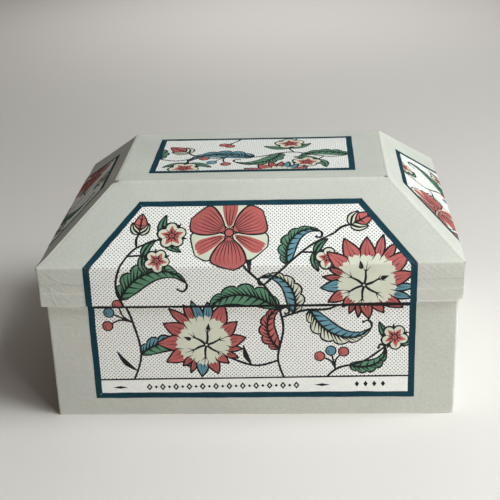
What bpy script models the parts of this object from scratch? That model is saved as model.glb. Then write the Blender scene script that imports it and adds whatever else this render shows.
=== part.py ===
"""A casket-shaped hat box of covered board: a rectangular tray and a lift-off lid.

The lid has an upright rim, four sloping panels and a flat top. Each board, covering paper, lining and
printed label is its own piece. Metres, +Z up, X along the long side, -Y at the front. The origin is the
centre of the underside. The lid lifts straight up along the Z axis.
"""

import math

import bmesh
import bpy
from mathutils import Vector

# The lid, measured over its covering papers
LID_WIDTH = 0.420
LID_DEPTH = 0.323
TOP_WIDTH = 0.280
TOP_DEPTH = 0.161
RIM_BOTTOM = 0.128
EAVE = 0.1695
HEIGHT = 0.231

# The tray
OVERHANG = 0.005
REST_GAP = 0.0004

# Sheet materials
BOARD = 0.002
PAPER = 0.0002
GAP = 0.0001
LAYER = PAPER + GAP

# How the papers are cut
TURN_IN = 0.015
SLOPE_FLAP = 0.0175
EDGE_TRIM = 0.0003
LINING_TRIM = 0.006

# Labels: a coloured border sheet with a printed sheet on it
BORDER = 0.0065
LABEL_FOOT = 0.020
LABEL_UNDER_RIM = 0.006
LONG_LABEL = {"eave_half": 0.1636, "top_half": 0.1121, "rise": 0.746}
SHORT_LABEL = {"eave_half": 0.109, "top_half": 0.0567, "rise": 0.755}
TOP_LABEL_HALF = (0.1076, 0.0586)

# Colours as linear RGB, with roughness
FINISHES = {
    "greyboard": ((0.33, 0.31, 0.27), 0.92),
    "covering": ((0.50, 0.50, 0.44), 0.78),
    "lining": ((0.74, 0.71, 0.63), 0.85),
    "border": ((0.012, 0.075, 0.105), 0.6),
    "print": ((0.70, 0.70, 0.64), 0.8),
}

# Each side's outward direction
SIDES = {"front": (0, -1), "back": (0, 1), "left": (-1, 0), "right": (1, 0)}
# Side of the cube that each panel is cut from, larger than the box
BLANK = 1.0


def lid_half(side):
    return LID_WIDTH / 2 if SIDES[side][0] else LID_DEPTH / 2


def top_half(side):
    return TOP_WIDTH / 2 if SIDES[side][0] else TOP_DEPTH / 2


def slope_angle(side):
    """Angle of a lid slope above the horizontal."""
    return math.atan2(HEIGHT - EAVE, lid_half(side) - top_half(side))


def tray_half(side):
    return lid_half(side) - OVERHANG


def tray_top():
    """The tray's walls end just below the linings of the slopes, which rest on them."""
    lining_depth = BOARD + 3 * LAYER
    return min(
        EAVE + (OVERHANG * math.sin(a) - lining_depth - REST_GAP) / math.cos(a)
        for a in map(slope_angle, SIDES)
    )


# A face is (outward normal, distance from the origin) of one outer surface.


def lid_faces():
    faces = {"top": (Vector((0, 0, 1)), HEIGHT)}
    for side, (x, y) in SIDES.items():
        a = slope_angle(side)
        slope = Vector((x * math.sin(a), y * math.sin(a), math.cos(a)))
        faces[side + "_rim"] = (Vector((x, y, 0)), lid_half(side))
        faces[side + "_slope"] = (slope, lid_half(side) * math.sin(a) + EAVE * math.cos(a))
    return faces


def tray_faces():
    faces = {"floor": (Vector((0, 0, -1)), -LAYER)}
    for side, (x, y) in SIDES.items():
        faces[side] = (Vector((x, y, 0)), tray_half(side))
    return faces


def finished(bm, name, body, finish):
    """Makes the object, parents it to its body's empty and gives it its material."""
    mesh = bpy.data.meshes.new(name)
    bmesh.ops.recalc_face_normals(bm, faces=bm.faces)
    bm.to_mesh(mesh)
    bm.free()
    obj = bpy.data.objects.new(name, mesh)
    obj.parent = body
    bpy.context.scene.collection.objects.link(obj)
    colour, roughness = FINISHES[finish]
    material = bpy.data.materials.new(name)
    material.use_nodes = True
    shader = material.node_tree.nodes["Principled BSDF"]
    shader.inputs["Base Color"].default_value = (*colour, 1)
    shader.inputs["Roughness"].default_value = roughness
    shader.inputs["Metallic"].default_value = 0
    mesh.materials.append(material)
    return obj


def cut(bm, normal, distance):
    """Cuts away what lies beyond the plane, and closes the cut."""
    size = normal.length
    found = bmesh.ops.bisect_plane(
        bm,
        geom=bm.verts[:] + bm.edges[:] + bm.faces[:],
        dist=1e-7,
        plane_co=normal * (distance / size**2),
        plane_no=normal / size,
        clear_outer=True,
    )
    edges = [e for e in found["geom_cut"] if isinstance(e, bmesh.types.BMEdge)]
    if edges:
        bmesh.ops.edgeloop_fill(bm, edges=edges)


def panel(name, body, finish, faces, face, depths, clips=()):
    """A flat panel between two depths under a face, mitred to every other face of the box.

    It holds the points that lie nearer to its own face than to any other, so all the edges where two
    panels meet are bevelled along the plane between them.
    """
    bm = bmesh.new()
    bmesh.ops.create_cube(bm, size=BLANK)
    normal, distance = faces[face]
    cut(bm, normal, distance - depths[0])
    cut(bm, -normal, depths[1] - distance)
    for other, (n, d) in faces.items():
        if other != face:
            mitre = n - normal
            cut(bm, mitre, d - distance - mitre.length * GAP)
    for n, d in clips:
        cut(bm, Vector(n), d)
    return finished(bm, name, body, finish)


def offset_path(path, distance):
    """The open path moved to its right by distance, with mitred corners."""
    points = [Vector(p) for p in path]
    ways = [(b - a).normalized() for a, b in zip(points, points[1:])]
    normals = [Vector((w.y, -w.x)) for w in ways]
    moved = []
    for i, p in enumerate(points):
        before = normals[max(i - 1, 0)]
        after = normals[min(i, len(normals) - 1)]
        mitre = (before + after).normalized()
        moved.append(p + mitre * (distance / mitre.dot(after)))
    return moved


def loft(rings, closed):
    """Quads between successive rings of the same number of points, with end caps unless closed."""
    bm = bmesh.new()
    rows = [[bm.verts.new(p) for p in ring] for ring in rings]
    count = len(rows[0])
    pairs = list(zip(rows, rows[1:]))
    if closed:
        pairs.append((rows[-1], rows[0]))
    for low, high in pairs:
        for i in range(count):
            j = (i + 1) % count
            bm.faces.new((low[i], low[j], high[j], high[i]))
    if not closed:
        bm.faces.new(rows[0])
        bm.faces.new(rows[-1])
    return bm


def wrap(name, body, finish, half, path):
    """A paper strip round all four sides, folded along path: (distance out past half, height)."""
    section = [Vector(p) for p in path] + offset_path(path, -PAPER)[::-1]
    rings = []
    for out, z in section:
        x = half[0] + out
        y = half[1] + out
        rings.append([(-x, -y, z), (x, -y, z), (x, y, z), (-x, y, z)])
    return finished(loft(rings, closed=True), name, body, finish)


def folded_sheet(name, body, finish, side, path, half_widths, lift):
    """A sheet on one side, folded along path: (distance out, height), lift away from it."""
    out_x, out_y = SIDES[side]
    rings = []
    lines = zip(offset_path(path, lift + PAPER), offset_path(path, lift), half_widths)
    for outer, inner, w in lines:
        ring = [(outer, -w), (outer, w), (inner, w), (inner, -w)]
        rings.append([
            (out_x * p.x - out_y * along, out_y * p.x + out_x * along, p.y) for p, along in ring
        ])
    return finished(loft(rings, closed=False), name, body, finish)


def plate(name, body, finish, half, low, high):
    """A flat rectangular sheet between two heights."""
    x, y = half
    rings = [[(-x, -y, z), (x, -y, z), (x, y, z), (-x, y, z)] for z in (low, high)]
    return finished(loft(rings, closed=False), name, body, finish)


def profile_point(side, along):
    """(distance out, height) on the lid's surface, along metres up the slope from the eave."""
    if along < 0:
        return lid_half(side), EAVE + along
    a = slope_angle(side)
    return lid_half(side) - along * math.cos(a), EAVE + along * math.sin(a)


def slope_length(side):
    return math.hypot(HEIGHT - EAVE, lid_half(side) - top_half(side))


def label_half(shape, top, along, inset):
    """Half width of a label, inset from its outline: upright below the eave, tapering above it."""
    taper = (shape["eave_half"] - shape["top_half"]) / top
    straight = shape["eave_half"] - inset
    slanted = shape["eave_half"] - taper * along - inset * math.hypot(1, taper)
    return min(straight, slanted)


def slope_paper(name, body, side):
    """The covering of one slope, folded down over the upper part of the rim."""
    neighbour = "front" if SIDES[side][0] else "right"
    corner = lid_half(neighbour) - EDGE_TRIM
    upper_corner = top_half(neighbour) - EDGE_TRIM
    stops = (-SLOPE_FLAP, 0, slope_length(side) - EDGE_TRIM)
    path = [profile_point(side, along) for along in stops]
    folded_sheet(name, body, "covering", side, path, [corner, corner, upper_corner], -PAPER)


def lid_label_sheet(name, body, finish, side, inset, lift):
    shape = SHORT_LABEL if SIDES[side][0] else LONG_LABEL
    top = shape["rise"] * slope_length(side)
    taper = (shape["eave_half"] - shape["top_half"]) / top
    bend = -inset * (math.hypot(1, taper) - 1) / taper
    foot = RIM_BOTTOM + EDGE_TRIM - EAVE
    stops = sorted({foot, bend, 0.0, top - inset})
    path = [profile_point(side, along) for along in stops]
    widths = [label_half(shape, top, along, inset) for along in stops]
    folded_sheet(name, body, finish, side, path, widths, lift)


def tray_label_sheet(name, body, finish, side, inset, lift):
    shape = SHORT_LABEL if SIDES[side][0] else LONG_LABEL
    half = tray_half(side)
    path = [(half, LABEL_FOOT + inset), (half, RIM_BOTTOM + LABEL_UNDER_RIM)]
    folded_sheet(name, body, finish, side, path, [shape["eave_half"] - inset] * 2, lift)


def make_tray(body):
    faces = tray_faces()
    half = (tray_half("right"), tray_half("front"))
    top = tray_top()
    board_depths = (LAYER, LAYER + BOARD)
    under_cover = [((0, 0, 1), top - LAYER)]
    inner_face = 2 * LAYER + BOARD
    floor_top = LAYER + LAYER + BOARD
    plate("base_bottom_paper", body, "lining", (half[0] - LAYER, half[1] - LAYER), 0, PAPER)
    panel("base_floor_board", body, "greyboard", faces, "floor", board_depths)
    for side in SIDES:
        panel(f"base_{side}_board", body, "greyboard", faces, side, board_depths, under_cover)
    wrap("base_wall_cover", body, "covering", half, [
        (-TURN_IN, LAYER),
        (0, LAYER),
        (0, top),
        (-inner_face, top),
        (-inner_face, top - TURN_IN),
    ])
    wrap("base_wall_lining", body, "lining", half, [
        (-inner_face - LAYER, top - LINING_TRIM),
        (-inner_face - LAYER, floor_top + LAYER + GAP),
    ])
    floor_half = (half[0] - inner_face, half[1] - inner_face)
    plate("base_floor_lining", body, "lining", floor_half, floor_top + GAP, floor_top + LAYER)
    for side in SIDES:
        tray_label_sheet(f"base_{side}_label_border", body, "border", side, 0, GAP)
        tray_label_sheet(f"base_{side}_label_print", body, "print", side, BORDER, LAYER + GAP)


def make_lid(body):
    faces = lid_faces()
    half = (lid_half("right"), lid_half("front"))
    board_depths = (2 * LAYER, 2 * LAYER + BOARD)
    lining_depths = (board_depths[1] + GAP, board_depths[1] + LAYER)
    rim_clip = [((0, 0, -1), -RIM_BOTTOM - LAYER)]
    turned_in = board_depths[1] + LAYER
    panel("lid_top_board", body, "greyboard", faces, "top", board_depths)
    panel("lid_top_paper", body, "covering", faces, "top", (0, PAPER))
    panel("lid_top_lining", body, "lining", faces, "top", lining_depths)
    for side in SIDES:
        slope = side + "_slope"
        panel(f"lid_{slope}_board", body, "greyboard", faces, slope, board_depths)
        panel(f"lid_{slope}_lining", body, "lining", faces, slope, lining_depths)
        panel(f"lid_{side}_rim_board", body, "greyboard", faces, side + "_rim", board_depths, rim_clip)
        slope_paper(f"lid_{side}_slope_paper", body, side)
    wrap("lid_rim_cover", body, "covering", half, [
        (-turned_in, RIM_BOTTOM + TURN_IN),
        (-turned_in, RIM_BOTTOM),
        (-LAYER, RIM_BOTTOM),
        (-LAYER, EAVE - EDGE_TRIM),
    ])
    wrap("lid_rim_lining", body, "lining", half, [
        (-turned_in - LAYER, EAVE - 2 * LAYER - BOARD),
        (-turned_in - LAYER, RIM_BOTTOM + LINING_TRIM),
    ])
    for side in SIDES:
        lid_label_sheet(f"lid_{side}_label_border", body, "border", side, 0, GAP)
        lid_label_sheet(f"lid_{side}_label_print", body, "print", side, BORDER, LAYER + GAP)
    plate("lid_top_label_border", body, "border", TOP_LABEL_HALF, HEIGHT + GAP, HEIGHT + LAYER)
    print_half = (TOP_LABEL_HALF[0] - BORDER, TOP_LABEL_HALF[1] - BORDER)
    plate(
        "lid_top_label_print", body, "print", print_half, HEIGHT + LAYER + GAP, HEIGHT + 2 * LAYER
    )


def body_empty(name):
    """The parent of one body's pieces. Both stand at the origin, on the axis that the lid lifts along."""
    empty = bpy.data.objects.new(name, None)
    bpy.context.scene.collection.objects.link(empty)
    return empty


for leftover in list(bpy.data.objects):
    bpy.data.objects.remove(leftover)
make_tray(body_empty("base"))
make_lid(body_empty("lid"))
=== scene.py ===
"""Looks of the hat box: its covering papers, linings, block-printed labels, light and camera."""

import math

import bmesh
import bpy
import numpy as np
from mathutils import Matrix, Vector, noise
from mathutils.bvhtree import BVHTree
from mathutils.geometry import delaunay_2d_cdt


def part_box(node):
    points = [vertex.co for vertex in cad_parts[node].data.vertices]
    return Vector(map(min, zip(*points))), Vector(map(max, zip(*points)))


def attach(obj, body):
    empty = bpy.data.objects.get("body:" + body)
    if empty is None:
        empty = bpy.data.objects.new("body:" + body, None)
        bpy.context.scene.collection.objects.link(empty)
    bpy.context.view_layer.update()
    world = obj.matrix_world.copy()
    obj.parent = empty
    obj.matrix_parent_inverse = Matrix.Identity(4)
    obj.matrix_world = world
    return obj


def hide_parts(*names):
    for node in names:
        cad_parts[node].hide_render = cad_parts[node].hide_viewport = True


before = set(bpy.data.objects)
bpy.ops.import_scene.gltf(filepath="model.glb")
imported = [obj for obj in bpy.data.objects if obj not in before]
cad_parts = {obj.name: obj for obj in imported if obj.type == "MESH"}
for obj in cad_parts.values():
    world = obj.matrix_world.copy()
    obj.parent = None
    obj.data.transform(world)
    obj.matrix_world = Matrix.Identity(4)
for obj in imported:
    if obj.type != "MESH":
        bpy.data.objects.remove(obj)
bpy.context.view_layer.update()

MM = 0.001

# Papers: how they lie on the box
EDGE_RADIUS = {"lid": 1.5 * MM, "base": 2.4 * MM}
SHEET = 0.17 * MM            # thickness of one paper
STEP = 0.2 * MM              # from one layer of paper to the next
TURN_OVER = 9 * MM           # slope papers past an edge, under the next paper
HIP_INSET = 3.3 * MM         # front and back slope papers end this far from the hips, along the eave
TOP_INSET = 1.8 * MM         # the top paper ends this far inside the top's edges
RIM_INSET = 1.6 * MM         # the slope papers' flaps end this far from the rim's corners
RIPPLE = 0.24 * MM           # how far a panel is out of true
RIPPLE_SPAN = 90 * MM
CORE_PITCH = 25 * MM         # boards and linings bend this finely
BOARD_DEPTH = 0.25 * MM      # the boards' faces lie this deep under the covering papers' faces
FLAT_FOOT = 20 * MM          # the tray's lowest part stands flat
WORN = 4 * MM                # how far from an edge its wear reaches
BORDER = 6.5 * MM
UV_SPAN = 0.1                # metres of sheet in one unit of its UV map
DOT_PITCH = 4 * MM           # between neighbouring dots of a row on the labels
PAPER_TRIM = 0.3 * MM        # the rim cover ends this far under the eave
TURN_IN = 15 * MM            # how far the covers' edges are turned in
FOLD_RADIUS = 0.6 * MM       # of the covers' own folds
CORNER_STEPS = 6             # faces round a corner of a cover
SIDE_STEPS = 44              # and along a side
CUT_PITCH = 7 * MM           # between the points of an edge that is cut by hand
SHEET_PITCH = 12 * MM        # sheets are divided this finely, so that they follow a panel out of true
CREASE = (-1.1, -0.75, -0.45, -0.2, 0, 0.2, 0.45, 0.75, 1.1)   # lines beside a fold, in edge radii

SIDES = {"front": (0, -1), "right": (1, 0), "back": (0, 1), "left": (-1, 0)}

# Sizes read from the frame
rim_low, rim_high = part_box("lid_rim_cover")
top_low, top_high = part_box("lid_top_paper")
tray_low, tray_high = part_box("base_wall_cover")
flap_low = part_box("lid_front_slope_paper")[0].z
RIM_BOTTOM = rim_low.z
EAVE = rim_high.z + PAPER_TRIM
SUMMIT = top_high.z
LID_HALF = (rim_high.x, rim_high.y)
TOP_HALF = (top_high.x, top_high.y)
TRAY_HALF = (tray_high.x, tray_high.y)


def across(side):
    """0 if the side faces along X, 1 if it faces along Y: the index of its half size."""
    return 0 if SIDES[side][0] else 1


# ---------------------------------------------------------------------------------------------------
# Surfaces that papers lie on


def slope_angle(side):
    i = across(side)
    return math.atan2(SUMMIT - EAVE, LID_HALF[i] - TOP_HALF[i])


def slope_length(side):
    i = across(side)
    return math.hypot(SUMMIT - EAVE, LID_HALF[i] - TOP_HALF[i])


def side_normal(side):
    x, y = SIDES[side]
    a = slope_angle(side)
    return Vector((x * math.sin(a), y * math.sin(a), math.cos(a)))


def lid_planes():
    """(normal, distance) of the lid's faces, open at the bottom."""
    planes = [(Vector((0, 0, 1)), SUMMIT)]
    for side, (x, y) in SIDES.items():
        half = LID_HALF[across(side)]
        a = slope_angle(side)
        planes.append((Vector((x, y, 0)), half))
        planes.append((side_normal(side), half * math.sin(a) + EAVE * math.cos(a)))
    return planes


def tray_planes():
    planes = [(Vector((0, 0, -1)), -tray_low.z)]
    for side, (x, y) in SIDES.items():
        planes.append((Vector((x, y, 0)), TRAY_HALF[across(side)]))
    return planes


class Skin:
    """The outer surface of a covered box shape: flat faces whose edges are rounded.

    A point is put on it by going to the nearest point of a sharp core, one radius further in, and back
    out again by the radius and its lift.
    """

    def __init__(self, planes, radius):
        self.radius = radius
        self.planes = planes
        core = bmesh.new()
        bmesh.ops.create_cube(core, size=1)
        for normal, distance in planes:
            found = bmesh.ops.bisect_plane(
                core,
                geom=core.verts[:] + core.edges[:] + core.faces[:],
                plane_co=normal * (distance - radius),
                plane_no=normal,
                clear_outer=True,
            )
            edges = [e for e in found["geom_cut"] if isinstance(e, bmesh.types.BMEdge)]
            if edges:
                bmesh.ops.edgeloop_fill(core, edges=edges)
        self.tree = BVHTree.FromBMesh(core)
        core.free()

    def place(self, point, lift):
        core = self.tree.find_nearest(point)[0]
        out = (point - core).normalized()
        return core + out * (self.radius + lift)

    def hold(self, point, depth):
        """The point, or the nearest one that lies this deep under the surface."""
        core, _, _, distance = self.tree.find_nearest(point)
        outside = any(point.dot(n) > d - self.radius for n, d in self.planes)
        if outside and distance > self.radius - depth:
            return core + (point - core) * ((self.radius - depth) / distance)
        return point


SKINS = {
    "lid": Skin(lid_planes(), EDGE_RADIUS["lid"]),
    "base": Skin(tray_planes(), EDGE_RADIUS["base"]),
}

# Bumps and dents of age: body, centre, how far it reaches, and how far its centre moves, in millimetres
DENTS = [
    ("lid", (LID_HALF[0], -LID_HALF[1], 0.5 * (RIM_BOTTOM + EAVE)), 170, (0, 0, 2)),
    ("lid", (LID_HALF[0], -LID_HALF[1], RIM_BOTTOM), 9, (-1.5, 1.2, 1.6)),
    ("lid", (-LID_HALF[0], -LID_HALF[1] + 3 * MM, EAVE - 2 * MM), 13, (-1.5, 0.2, 0)),
    ("lid", (-0.86 * LID_HALF[0], -LID_HALF[1], RIM_BOTTOM), 16, (0, -0.3, -0.8)),
    ("lid", (0.6 * LID_HALF[0], -LID_HALF[1], RIM_BOTTOM), 34, (0, 0, 0.5)),
    ("lid", (LID_HALF[0], 0.3 * LID_HALF[1], RIM_BOTTOM), 40, (0.5, 0, 0.5)),
    ("lid", (-TOP_HALF[0], -TOP_HALF[1], SUMMIT), 5, (0.9, 0.7, -0.9)),
    ("lid", (-0.3 * LID_HALF[0], LID_HALF[1], RIM_BOTTOM), 30, (0, 0.4, -0.5)),
    ("base", (TRAY_HALF[0], -TRAY_HALF[1], 0), 10, (-0.8, 0.8, 0.8)),
    ("base", (-TRAY_HALF[0], TRAY_HALF[1], 0), 14, (0.9, -0.9, 0.6)),
]

# noise_vector takes its offsets from the clock until it is given a seed.
noise.seed_set(5)


def ripple(point, body):
    """The point moved as a hand-made, handled box is out of true, the same for every layer of a body."""
    seed = Vector((0, 0, 7 if body == "lid" else 31))
    wide = noise.noise_vector(point / RIPPLE_SPAN + seed)
    fine = noise.noise_vector(point / (RIPPLE_SPAN / 3) + seed)
    moved = point + wide * RIPPLE + fine * (RIPPLE / 4)
    for dented, centre, reach, push in DENTS:
        near = 1 - ((point - Vector(centre)).length / (reach * MM)) ** 2
        if dented == body and near > 0:
            moved += Vector(push) * (MM * near**2)
    if body == "base":
        moved.z = point.z + (moved.z - point.z) * min(1, point.z / FLAT_FOOT)
    return moved


class Face:
    """One flat face of a box shape, which a sheet starts from, with hinges where it folds over an edge.

    u runs to the right as the face is looked at from outside, v up it, both in metres. Lines are the
    edges that it has besides its hinges, where papers wear.
    """

    def __init__(self, body, origin, right, up, hinges=(), lines=()):
        self.body = body
        self.origin = Vector(origin)
        self.right = Vector(right)
        self.up = Vector(up)
        self.normal = self.right.cross(self.up)
        self.skin = SKINS[body]
        self.hinges = []
        for a, b, other_normal in hinges:
            start = self.flat(*a)
            axis = (self.flat(*b) - start).normalized()
            angle = self.normal.angle(other_normal)
            outward = axis.cross(self.normal)
            self.hinges.append((start, outward, Matrix.Rotation(angle, 3, axis)))
        self.edges = [hinge[:2] for hinge in self.hinges]
        for a, b in lines:
            start = self.flat(*a)
            self.edges.append((start, (self.flat(*b) - start).normalized().cross(self.normal)))

    def flat(self, u, v):
        return self.origin + self.right * u + self.up * v

    def place(self, u, v, lift):
        point = self.flat(u, v)
        for start, outward, turn in self.hinges:
            if (point - start).dot(outward) > 0:
                point = start + turn @ (point - start)
                break
        return ripple(self.skin.place(point, lift), self.body)

    def wear(self, u, v):
        """1 on an edge of the box, falling to 0 beside it."""
        point = self.flat(u, v)
        distances = [abs((point - start).dot(outward)) for start, outward in self.edges]
        return max(0, 1 - min(distances) / WORN) if distances else 0


def neighbours(side):
    """The sides to the right and to the left of a side, as it is looked at from outside."""
    order = list(SIDES)
    at = order.index(side)
    return order[(at + 1) % 4], order[at - 1]


def slope_face(side):
    """A slope of the lid, from its eave, with hinges over both hips, down to the rim and onto the top."""
    x, y = SIDES[side]
    i = across(side)
    half = LID_HALF[i]
    corner = LID_HALF[1 - i]
    upper = TOP_HALF[1 - i]
    a = slope_angle(side)
    length = slope_length(side)
    right_side, left_side = neighbours(side)
    return Face(
        "lid",
        (x * half, y * half, EAVE),
        (-y, x, 0),
        (-x * math.cos(a), -y * math.cos(a), math.sin(a)),
        [
            ((corner, 0), (upper, length), side_normal(right_side)),
            ((-upper, length), (-corner, 0), side_normal(left_side)),
            ((-corner, 0), (corner, 0), Vector((x, y, 0))),
            ((upper, length), (-upper, length), Vector((0, 0, 1))),
        ],
        [((corner, -1), (corner, 0)), ((-corner, 0), (-corner, -1))],
    )


def wall_face(side):
    """A wall of the tray. v is 0 at the height of the eave, so that a print carries on from the lid."""
    x, y = SIDES[side]
    half = TRAY_HALF[across(side)]
    return Face("base", (x * half, y * half, EAVE), (-y, x, 0), (0, 0, 1))


def top_face():
    x, y = TOP_HALF
    corners = [(-x, -y), (x, -y), (x, y), (-x, y)]
    edges = list(zip(corners, corners[1:] + corners[:1]))
    return Face("lid", (0, 0, SUMMIT), (1, 0, 0), (0, 1, 0), lines=edges)


# ---------------------------------------------------------------------------------------------------
# Sheets


def crease(a, b):
    """Lines along a fold from a to b and close beside it, where a sheet bends."""
    a = Vector(a)
    b = Vector(b)
    aside = (b - a).normalized().orthogonal() * EDGE_RADIUS["lid"]
    return [(a + aside * k, b + aside * k) for k in CREASE]


def grid(outline):
    """Lines that divide a sheet so that it can follow a panel that is out of true."""
    low = [min(p[i] for p in outline) for i in (0, 1)]
    high = [max(p[i] for p in outline) for i in (0, 1)]
    lines = []
    for i in (0, 1):
        for k in range(math.ceil(low[i] / SHEET_PITCH), math.floor(high[i] / SHEET_PITCH) + 1):
            a, b = Vector(low), Vector(high)
            a[i] = b[i] = k * SHEET_PITCH
            lines.append((a, b))
    return lines


def winding(polygon, x, y):
    """How many times a polygon goes round each of the points (x, y)."""
    turns = np.zeros(len(x), int)
    for a, b in zip(polygon, np.roll(polygon, -1, axis=0)):
        left = (b[0] - a[0]) * (y - a[1]) > (x - a[0]) * (b[1] - a[1])
        turns += left & (a[1] <= y) & (b[1] > y)
        turns -= ~left & (a[1] > y) & (b[1] <= y)
    return turns


def divide(outline, shapes, lines):
    """Triangles of a flat sheet, each with the topmost shape over it: (points, [(triangle, ink)])."""
    points = [Vector(p) for p in outline]
    face = list(range(len(points)))
    edges = []
    for _, polygon in shapes:
        first = len(points)
        count = len(polygon)
        points += [Vector(p) for p in polygon]
        edges += [(first + i, first + (i + 1) % count) for i in range(count)]
    for a, b in lines:
        edges.append((len(points), len(points) + 1))
        points += [Vector(a), Vector(b)]
    flat, _, triangles, _, _, _ = delaunay_2d_cdt(points, edges, [face], 0, 1e-7)
    middles = np.array([sum((flat[i] for i in t), Vector((0, 0))) / 3 for t in triangles])
    x, y = middles.T
    inside = winding(np.array(outline), x, y) != 0
    top = np.zeros(len(triangles), int)
    for k, (_, polygon) in enumerate(shapes):
        corners = np.array(polygon)
        low = corners.min(axis=0)
        high = corners.max(axis=0)
        near = np.nonzero((x > low[0]) & (x < high[0]) & (y > low[1]) & (y < high[1]))[0]
        top[near[winding(corners, x[near], y[near]) != 0]] = k + 1
    inks = ["ground"] + [ink for ink, _ in shapes]
    return flat, [(t, inks[k]) for t, k, keep in zip(triangles, top, inside) if keep]


def add_mesh(name, bm, inks, sharp_degrees=None):
    """The finished bmesh as an object; its edges that turn more than the angle are sharp."""
    mesh = bpy.data.meshes.new(name)
    bm.to_mesh(mesh)
    bm.free()
    if sharp_degrees:
        mesh.set_sharp_from_angle(angle=math.radians(sharp_degrees))
    for ink in inks:
        mesh.materials.append(MATERIALS[ink])
    obj = bpy.data.objects.new(name, mesh)
    bpy.context.scene.collection.objects.link(obj)
    return obj


def finish_piece(obj, node):
    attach(obj, body_of(node))
    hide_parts(node)


def body_of(node):
    return node.split("_")[0]


def sheet(name, node, kind, face, outline, level, shapes, creases=()):
    """A closed sheet of paper on a face, in flat metres, at a level of paper above the covered boards."""
    inks, slot = KINDS[kind]
    lines = grid(outline)
    for a, b in creases:
        lines += crease(a, b)
    flat, triangles = divide(outline, shapes, lines)
    used = sorted({i for t, _ in triangles for i in t})
    bm = bmesh.new()
    uv = bm.loops.layers.uv.new("print")
    wear = bm.verts.layers.float.new("wear")
    lift = level * STEP
    outer = {i: bm.verts.new(face.place(flat[i].x, flat[i].y, lift)) for i in used}
    inner = {i: bm.verts.new(face.place(flat[i].x, flat[i].y, lift - SHEET)) for i in used}
    for i in used:
        outer[i][wear] = inner[i][wear] = face.wear(flat[i].x, flat[i].y)
    rim = {}
    for t, ink in triangles:
        front = bm.faces.new([outer[i] for i in t])
        front.material_index = inks.index(ink)
        back = bm.faces.new([inner[i] for i in reversed(t)])
        for f, order in ((front, t), (back, t[::-1])):
            f.smooth = True
            for loop, i in zip(f.loops, order):
                loop[uv].uv = flat[i] / UV_SPAN
        for a, b in zip(t, t[1:] + t[:1]):
            if (b, a) in rim:
                del rim[(b, a)]
            else:
                rim[(a, b)] = True
    for a, b in rim:
        wall = bm.faces.new((outer[b], outer[a], inner[a], inner[b]))
        for loop, i in zip(wall.loops, (b, a, a, b)):
            loop[uv].uv = flat[i] / UV_SPAN
    finish_piece(add_mesh(name, bm, inks, 40), node)


# ---------------------------------------------------------------------------------------------------
# Materials


class Nodes:
    """A material's node tree, with short ways to add and join nodes."""

    def __init__(self, name, roughness):
        self.material = bpy.data.materials.new(name)
        self.material.use_nodes = True
        self.tree = self.material.node_tree
        self.shader = self.tree.nodes["Principled BSDF"]
        self.shader.inputs["Roughness"].default_value = roughness
        self.shader.inputs["Specular IOR Level"].default_value = 0.35

    def add(self, kind, **settings):
        node = self.tree.nodes.new("ShaderNode" + kind)
        for key, value in settings.items():
            setattr(node, key, value)
        return node

    def put(self, socket, value):
        if isinstance(value, bpy.types.NodeSocket):
            self.tree.links.new(value, socket)
        else:
            socket.default_value = value

    def math(self, operation, a, b=0.0, c=0.0):
        node = self.add("Math", operation=operation)
        for socket, value in zip(node.inputs, (a, b, c)):
            self.put(socket, value)
        return node.outputs[0]

    def mix(self, factor, a, b, blend="MIX"):
        node = self.add("Mix", data_type="RGBA", blend_type=blend)
        self.put(node.inputs["Factor"], factor)
        self.put(node.inputs["A"], a)
        self.put(node.inputs["B"], b)
        return node.outputs["Result"]

    def product(self, a, b):
        return self.math("MULTIPLY", a, b)

    def place(self):
        """Object coordinates and their three parts."""
        whole = self.add("TexCoord").outputs["Object"]
        parts = self.add("SeparateXYZ")
        self.put(parts.inputs[0], whole)
        return whole, *parts.outputs

    def near(self, centre, radius, soft):
        """1 within radius of a point, falling to 0 over the distance soft, in metres."""
        distance = self.add("VectorMath", operation="DISTANCE")
        self.put(distance.inputs[0], self.place()[0])
        distance.inputs[1].default_value = centre
        return self.between(distance.outputs["Value"], radius + soft, radius)

    def wear(self):
        return self.add("Attribute", attribute_name="wear").outputs["Fac"]

    def noise(self, scale, detail=4.0, stretch=None, coordinate=None):
        """Noise of this many features per metre, from object coordinates unless others are given."""
        where = coordinate or self.add("TexCoord").outputs["Object"]
        if stretch:
            mapping = self.add("Mapping")
            self.put(mapping.inputs["Vector"], where)
            mapping.inputs["Scale"].default_value = stretch
            where = mapping.outputs["Vector"]
        node = self.add("TexNoise")
        self.put(node.inputs["Vector"], where)
        node.inputs["Scale"].default_value = scale
        node.inputs["Detail"].default_value = detail
        return node.outputs["Fac"]

    def between(self, value, low, high, to_low=0.0, to_high=1.0):
        node = self.add("MapRange")
        for socket, v in zip(node.inputs, (value, low, high, to_low, to_high)):
            self.put(socket, v)
        return node.outputs[0]

    def bump(self, height, distance, strength=1.0, under=None):
        node = self.add("Bump")
        node.inputs["Strength"].default_value = strength
        node.inputs["Distance"].default_value = distance
        self.put(node.inputs["Height"], height)
        if under:
            self.put(node.inputs["Normal"], under)
        return node.outputs["Normal"]


def shade(colour, k):
    return (*(c * k for c in colour), 1)


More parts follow.
